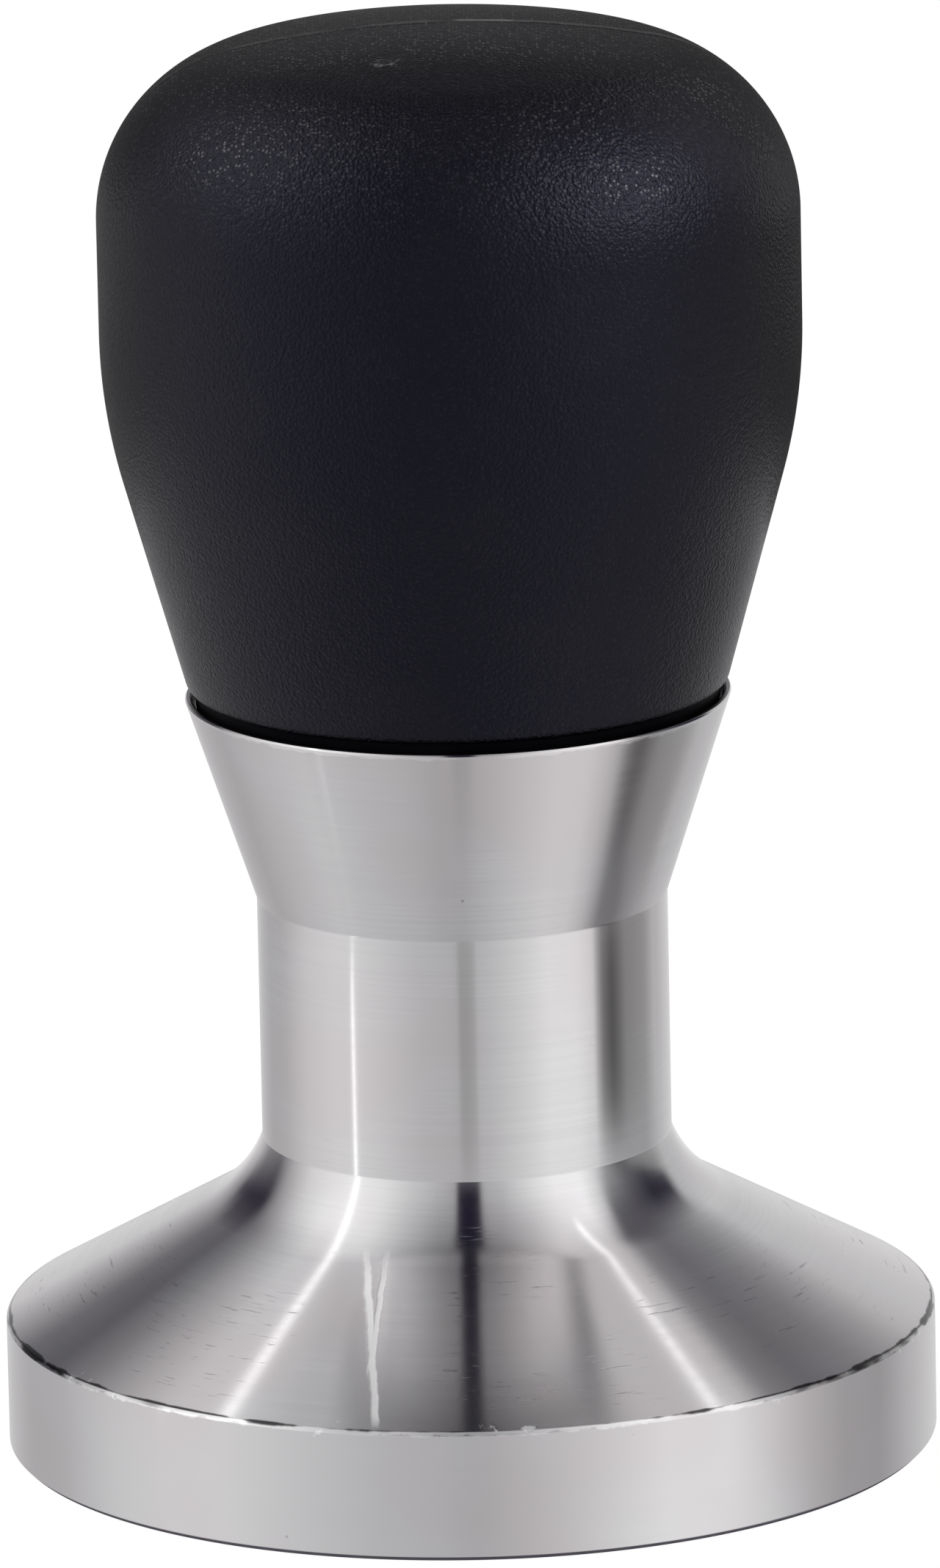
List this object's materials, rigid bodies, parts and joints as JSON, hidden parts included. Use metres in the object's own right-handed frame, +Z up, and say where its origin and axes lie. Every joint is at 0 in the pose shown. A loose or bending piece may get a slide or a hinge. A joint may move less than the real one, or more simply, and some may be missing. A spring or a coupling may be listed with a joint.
{
  "type": "espresso tamper",
  "caption": "Espresso tamper: a solid turned steel piston with a sloping shoulder, slim neck and cupped collar, and a black moulded handle that unscrews on a threaded stud",
  "frame": {"origin": "centre of the tamping face, the flat underside that the tamper stands on", "axes": "+Z up along the tamper's axis, from the tamping face to the crown of the handle. The body is round, so +X and +Y are free."},
  "size_m": [0.058, 0.058, 0.0896],
  "materials": {
    "turned_steel": "fine turned satin on the piston's side, neck and collar, brighter on the shoulder",
    "gasket_rubber": "matte",
    "stud_steel": "bright rolled thread",
    "insert_brass": "machined",
    "core_plastic": "as moulded, fine texture",
    "soft_grip": "soft matte with a fine grain"
  },
  "bodies": {
    "base": {"steel_base": "turned_steel"},
    "gasket": {"foot_gasket": "gasket_rubber"},
    "handle": {"joining_stud": "stud_steel", "threaded_insert": "insert_brass", "handle_core": "core_plastic", "core_lid": "core_plastic", "grip_skin": "soft_grip"}
  },
  "joints": [
    {"name": "handle_lift", "type": "slide", "parent": "base", "child": "gasket", "axis": [0, 0, 1], "range_m": [0, 0.0135]},
    {"name": "handle_turn", "type": "hinge", "parent": "gasket", "child": "handle", "pos_m": [0, 0, 0.04716], "axis": [0, 0, 1], "range_deg": [0, 3240]}
  ],
  "couplings": [
    {"joint": "handle_lift", "follows": "handle_turn", "m_per_rad": 0.00023873}
  ]
}
